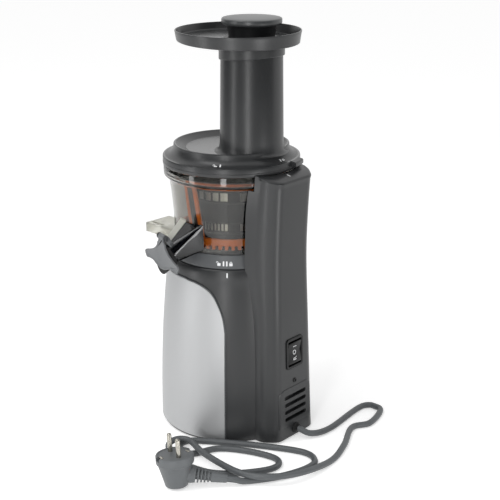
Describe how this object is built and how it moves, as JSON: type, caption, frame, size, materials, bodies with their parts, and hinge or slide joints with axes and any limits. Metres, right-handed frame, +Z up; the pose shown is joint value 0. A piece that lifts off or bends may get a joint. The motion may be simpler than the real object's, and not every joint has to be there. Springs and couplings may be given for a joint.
{
  "type": "cold press juicer",
  "caption": "Upright slow juicer: geared motor base with rear column, clear bowl with press screw, strainer and brush, feed tube with tray and pusher, hinged spout cap.",
  "frame": {"origin": "On the press screw's axis, at the height of the table that the feet stand on.", "axes": "+Z is up along the screw; +Y points to the back, where the column, switch and mains cord are; +X is the side of the juice spout."},
  "size_m": [0.2882, 0.2518, 0.4389],
  "materials": {
    "housing_dark": "satin moulded plastic",
    "housing_black": "satin moulded plastic",
    "silver_panel": "fine silver coat",
    "cap_grey": "satin moulded plastic",
    "smoky_clear": "smoky clear plastic",
    "brush_orange": "smooth moulded plastic",
    "gear_ivory": "acetal",
    "screw_black": "glass-filled plastic",
    "steel": "ground steel",
    "plated": "nickel plate",
    "aluminium": "die cast",
    "copper": "enamelled copper wire",
    "black_rubber": "soft rubber",
    "clear_silicone": "silicone",
    "cord_grey": "flexible plastic",
    "board_green": "coated board"
  },
  "bodies": {
    "base": {"motor_housing": "housing_dark", "rear_column": "housing_dark", "front_panel": "silver_panel", "panel_trim": "housing_black", "bottom_plate": "housing_black", "rubber_feet": "black_rubber", "housing_screws": "steel", "rear_grille": "housing_dark", "grille_screw": "steel", "switch_bezel": "housing_black", "cord_grommet": "black_rubber", "mains_cord": "cord_grey", "plug_body": "cord_grey", "plug_pins": "plated", "plug_earth_clips": "plated", "motor_bracket": "aluminium", "stator_core": "steel", "stator_windings": "copper", "motor_bearings": "steel", "gearbox_case": "aluminium", "ring_gear": "steel", "output_bearing": "steel", "shaft_seal": "black_rubber", "control_board": "board_green", "lid_sensor": "housing_black"},
    "rocker": {"rocker_switch": "housing_black"},
    "rotor": {"rotor_core": "steel", "motor_shaft": "steel", "cooling_fan": "housing_black"},
    "drive": {"planet_carrier": "steel"},
    "planet_1": {"planet_gear_1": "gear_ivory"},
    "planet_2": {"planet_gear_2": "gear_ivory"},
    "planet_3": {"planet_gear_3": "gear_ivory"},
    "bowl": {"juice_bowl": "smoky_clear", "bowl_ring": "cap_grey", "bowl_seal": "black_rubber", "pulp_chute": "smoky_clear", "juice_spout": "smoky_clear", "cap_pin": "plated", "strainer_frame": "screw_black", "strainer_mesh": "steel"},
    "auger": {"auger": "screw_black"},
    "pinion": {"brush_pinion": "gear_ivory"},
    "brush": {"brush_frame": "brush_orange", "wiper_blades": "black_rubber"},
    "cap": {"juice_cap": "cap_grey", "cap_seal": "black_rubber"},
    "lid": {"lid": "housing_dark", "feed_tube": "housing_dark", "lid_seal": "clear_silicone", "lid_magnet": "steel", "auger_bush": "steel"},
    "tray": {"hopper_tray": "housing_dark"},
    "pusher": {"pusher_body": "housing_black", "pusher_cap": "cap_grey"}
  },
  "joints": [
    {"name": "rocker_tilt", "type": "hinge", "parent": "base", "child": "rocker", "pos_m": [0, 0.08316, 0.0965], "axis": [1, 0, 0], "range_deg": [-10, 10]},
    {"name": "drive_spin", "type": "hinge", "parent": "base", "child": "drive", "pos_m": [0, 0, 0.13], "axis": [0, 0, 1], "continuous": true},
    {"name": "rotor_spin", "type": "hinge", "parent": "base", "child": "rotor", "pos_m": [0, 0, 0.06], "axis": [0, 0, 1], "continuous": true},
    {"name": "planet_1_spin", "type": "hinge", "parent": "drive", "child": "planet_1", "pos_m": [0.01875, 0, 0.116], "axis": [0, 0, 1], "continuous": true},
    {"name": "planet_2_spin", "type": "hinge", "parent": "drive", "child": "planet_2", "pos_m": [-0.00937, 0.01624, 0.116], "axis": [0, 0, 1], "continuous": true},
    {"name": "planet_3_spin", "type": "hinge", "parent": "drive", "child": "planet_3", "pos_m": [-0.00938, -0.01624, 0.116], "axis": [0, 0, 1], "continuous": true},
    {"name": "bowl_turn", "type": "hinge", "parent": "base", "child": "bowl", "pos_m": [0, 0, 0.196], "axis": [0, 0, 1], "range_deg": [0, 3.2]},
    {"name": "auger_spin", "type": "hinge", "parent": "bowl", "child": "auger", "pos_m": [0, 0, 0.205], "axis": [0, 0, 1], "continuous": true},
    {"name": "pinion_spin", "type": "hinge", "parent": "bowl", "child": "pinion", "pos_m": [-0.02037, 0.02722, 0.2052], "axis": [0, 0, 1], "continuous": true},
    {"name": "brush_spin", "type": "hinge", "parent": "bowl", "child": "brush", "pos_m": [0, 0, 0.213], "axis": [0, 0, 1], "continuous": true},
    {"name": "cap_swing", "type": "hinge", "parent": "bowl", "child": "cap", "pos_m": [0.09331, -0.0092, 0.22533], "axis": [-0.2874, -0.9578, 0], "range_deg": [0, 100]},
    {"name": "lid_turn", "type": "hinge", "parent": "bowl", "child": "lid", "pos_m": [0, 0, 0.288], "axis": [0, 0, 1], "range_deg": [0, 58]},
    {"name": "tray_lift", "type": "slide", "parent": "lid", "child": "tray", "axis": [0, 0, 1], "range_m": [0, 0.04]},
    {"name": "pusher_slide", "type": "slide", "parent": "tray", "child": "pusher", "axis": [0, 0, 1], "range_m": [0, 0.14]}
  ],
  "couplings": [
    {"joint": "rotor_spin", "follows": "drive_spin", "ratio": 5},
    {"joint": "planet_1_spin", "follows": "drive_spin", "ratio": -2.6667},
    {"joint": "planet_2_spin", "follows": "drive_spin", "ratio": -2.6667},
    {"joint": "planet_3_spin", "follows": "drive_spin", "ratio": -2.6667},
    {"joint": "auger_spin", "follows": "drive_spin", "ratio": 1},
    {"joint": "pinion_spin", "follows": "drive_spin", "ratio": -0.7},
    {"joint": "brush_spin", "follows": "drive_spin", "ratio": -0.25926}
  ]
}
